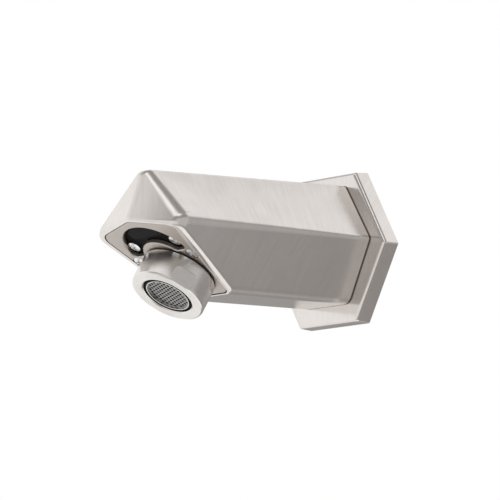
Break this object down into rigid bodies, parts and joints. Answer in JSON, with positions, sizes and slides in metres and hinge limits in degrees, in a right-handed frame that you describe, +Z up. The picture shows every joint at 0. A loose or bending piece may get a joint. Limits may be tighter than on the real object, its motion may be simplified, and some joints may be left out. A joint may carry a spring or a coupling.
{
  "type": "wall mounted sensor spout",
  "caption": "Touch-free wall spout: hexagonal brushed body on a hexagonal wall plate, pointed nose, slanted underside with sensor window and screw-on aerator.",
  "frame": {"origin": "on the wall plane, at the centre of the water inlet's mouth", "axes": "+Y into the wall along the inlet, the spout points along -Y, +Z up, +X to the right seen from in front"},
  "size_m": [0.0748, 0.1184, 0.0672],
  "materials": {
    "brushed_nickel": "brushed nickel plating on cast brass, fine grain across the body's length",
    "satin_nickel": "satin nickel plate, fine straight grain",
    "chrome": "polished chrome",
    "steel": "plain stainless steel",
    "brass": "machined brass",
    "rubber": "matte black rubber",
    "foam": "closed-cell foam",
    "black_plastic": "moulded, fine texture",
    "smoked_lens": "polished infrared-clear plastic, black to the eye",
    "eye_plastic": "clear dark epoxy",
    "circuit_board": "green lacquer",
    "white_plastic": "moulded natural plastic"
  },
  "bodies": {
    "spout": {"spout_body": "brushed_nickel", "wall_plate": "brushed_nickel", "wall_gasket": "foam", "inlet_adapter": "brass", "adapter_gasket": "rubber", "inlet_washer": "rubber", "inlet_strainer": "steel", "cable_grommet": "rubber", "water_tube": "steel", "tube_o_ring": "rubber", "cover_plate": "satin_nickel", "cover_screws": "chrome", "sensor_module": "black_plastic", "sensor_window": "smoked_lens", "infrared_emitter": "eye_plastic", "infrared_detector": "eye_plastic", "sensor_screws": "chrome", "sensor_gasket": "rubber", "sensor_board": "circuit_board", "board_connector": "white_plastic", "outlet_collar": "chrome", "collar_seal": "rubber", "collar_o_ring": "rubber"},
    "aerator_core": {"aerator_gasket": "rubber", "insert_body": "black_plastic", "flow_regulator": "black_plastic", "mesh_screen": "steel"},
    "aerator_housing": {"aerator_housing": "brushed_nickel"}
  },
  "joints": [
    {"name": "aerator_travel", "type": "slide", "parent": "spout", "child": "aerator_core", "axis": [0, -0.5417, -0.8406], "range_m": [0, 0.0045]},
    {"name": "aerator_turn", "type": "hinge", "parent": "aerator_core", "child": "aerator_housing", "pos_m": [0, -0.09373, -0.02122], "axis": [0, -0.5417, -0.8406], "range_deg": [0, 1620]}
  ],
  "couplings": [
    {"joint": "aerator_travel", "follows": "aerator_turn", "m_per_rad": 0.00015915}
  ]
}
